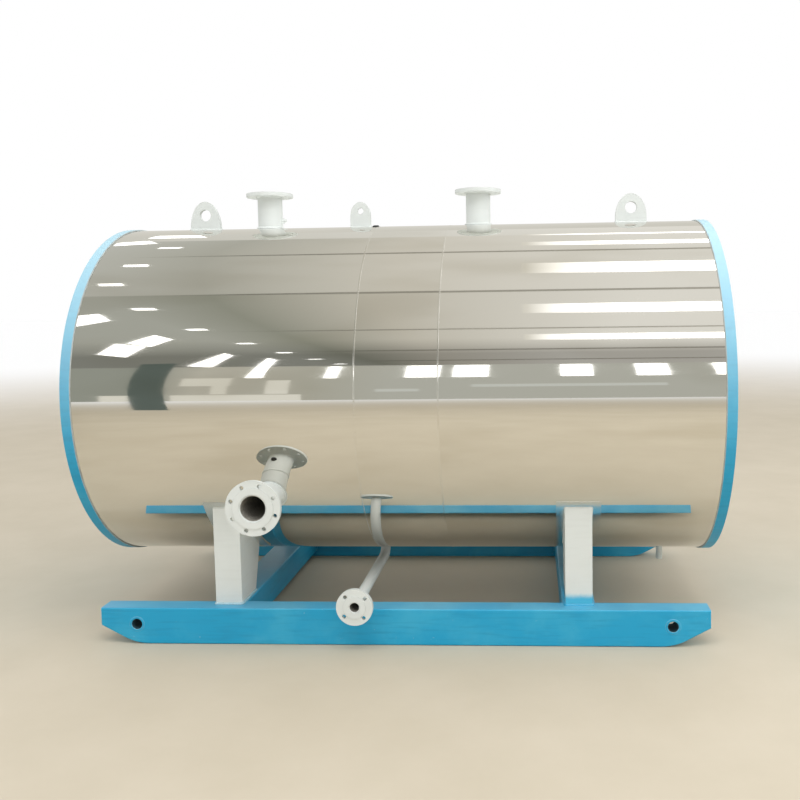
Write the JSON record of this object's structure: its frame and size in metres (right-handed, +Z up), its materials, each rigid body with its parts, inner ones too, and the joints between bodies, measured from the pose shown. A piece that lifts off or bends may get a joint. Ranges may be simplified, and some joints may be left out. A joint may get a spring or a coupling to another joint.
{
  "type": "industrial boiler",
  "caption": "Skid-mounted horizontal boiler: polished clad cylinder with painted end rims, flanged nozzles, lifting lugs and legs on a sled frame with raked runners.",
  "frame": {"origin": "on the ground, under the middle of the shell and midway between the two runners", "axes": "+Z up, +X along the shell axis to the right seen from the front, front with the flanged pipes towards -Y"},
  "size_m": [2.974, 1.8491, 2.147],
  "materials": {
    "jacket": "mirror-polished stainless sheet, slightly wavy",
    "blue_paint": "semi-gloss sky blue enamel",
    "white_paint": "satin off-white enamel",
    "insulation": "hidden inside the cladding"
  },
  "bodies": {
    "root": {"cross_beam_left": "blue_paint", "cross_beam_right": "blue_paint", "drain_collar": "white_paint", "drain_flange": "white_paint", "drain_tube": "white_paint", "end_plate_left": "blue_paint", "end_plate_right": "blue_paint", "end_rim_left": "blue_paint", "end_rim_right": "blue_paint", "front_pipe_collar": "white_paint", "front_pipe_flange": "white_paint", "front_pipe_tube": "white_paint", "jacket_left": "jacket", "jacket_middle": "jacket", "jacket_right": "jacket", "leg_front_left": "white_paint", "leg_front_right": "white_paint", "leg_rear_left": "white_paint", "leg_rear_right": "white_paint", "lug_left": "white_paint", "lug_right": "white_paint", "lug_small": "white_paint", "nozzle_left_collar": "white_paint", "nozzle_left_flange": "white_paint", "nozzle_left_tube": "white_paint", "nozzle_right_collar": "white_paint", "nozzle_right_flange": "white_paint", "nozzle_right_tube": "white_paint", "pull_sleeve_front_left": "blue_paint", "pull_sleeve_front_right": "blue_paint", "pull_sleeve_rear_left": "blue_paint", "pull_sleeve_rear_right": "blue_paint", "runner_front": "blue_paint", "runner_rear": "blue_paint", "stub_pad": "white_paint", "stub_tube": "white_paint", "vessel_core": "insulation"}
  },
  "joints": []
}
